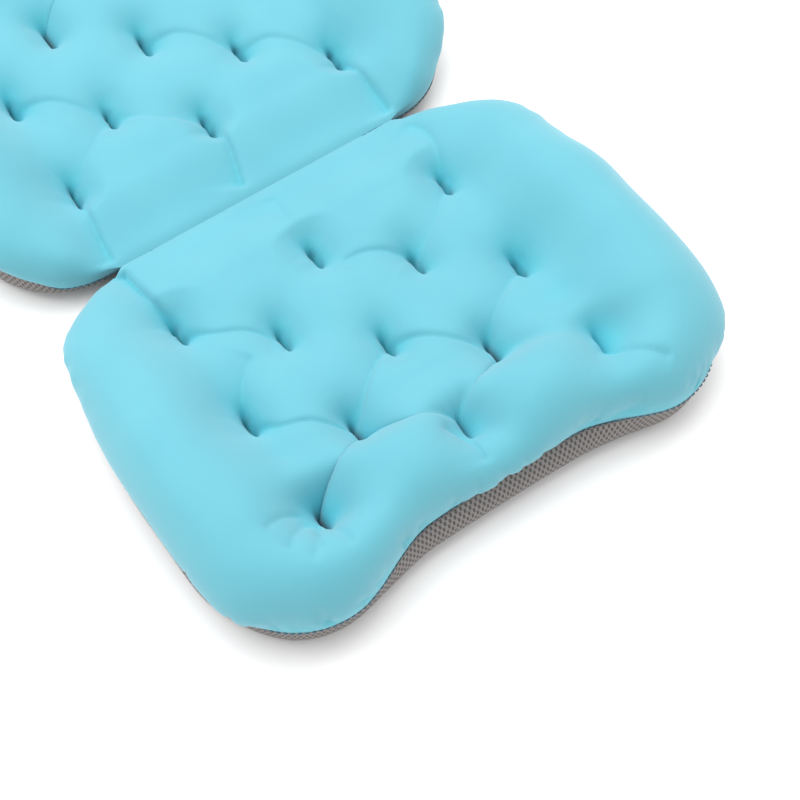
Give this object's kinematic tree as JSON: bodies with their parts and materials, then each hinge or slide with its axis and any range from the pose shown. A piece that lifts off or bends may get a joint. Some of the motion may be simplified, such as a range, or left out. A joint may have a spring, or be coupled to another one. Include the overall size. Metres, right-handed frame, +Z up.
{
  "type": "folding bath pillow",
  "caption": "Soft tufted bath cushion of stuffed pads with a knit top and air-mesh underside, joined by a stitched fold so one pad can be raised as a headrest.",
  "frame": {"origin": "on the floor under the middle of the stitched fold, centre of the part's underside", "axes": "+X along the fold, +Y from the fold over the upper pad, +Z up from the surface the pads lie on"},
  "size_m": [0.3358, 0.5082, 0.0685],
  "materials": {
    "cover_knit": "matte light blue stretch knit",
    "base_mesh": "warm grey open air mesh",
    "fibre_fill": "white fibre stuffing",
    "seam_thread": "dark teal sewing thread",
    "tack_thread": "light blue sewing thread"
  },
  "bodies": {
    "lower_pad": {"lower_top_cover": "cover_knit", "lower_base_mesh": "base_mesh", "lower_fill": "fibre_fill", "lower_edge_seam": "seam_thread", "fold_seam": "seam_thread", "lower_tack_1": "tack_thread", "lower_tack_2": "tack_thread", "lower_tack_3": "tack_thread", "lower_tack_4": "tack_thread", "lower_tack_5": "tack_thread", "lower_tack_6": "tack_thread", "lower_tack_7": "tack_thread", "lower_tack_8": "tack_thread", "lower_tack_9": "tack_thread", "lower_tack_10": "tack_thread", "lower_tack_11": "tack_thread", "lower_tack_12": "tack_thread", "lower_tack_13": "tack_thread"},
    "upper_pad": {"upper_top_cover": "cover_knit", "upper_base_mesh": "base_mesh", "upper_fill": "fibre_fill", "upper_edge_seam": "seam_thread", "upper_tack_1": "tack_thread", "upper_tack_2": "tack_thread", "upper_tack_3": "tack_thread", "upper_tack_4": "tack_thread", "upper_tack_5": "tack_thread", "upper_tack_6": "tack_thread", "upper_tack_7": "tack_thread", "upper_tack_8": "tack_thread", "upper_tack_9": "tack_thread", "upper_tack_10": "tack_thread", "upper_tack_11": "tack_thread", "upper_tack_12": "tack_thread", "upper_tack_13": "tack_thread"}
  },
  "joints": [
    {"name": "fold_hinge", "type": "hinge", "parent": "lower_pad", "child": "upper_pad", "pos_m": [0, 0, 0.014], "axis": [1, 0, 0], "range_deg": [-120, 60]}
  ]
}
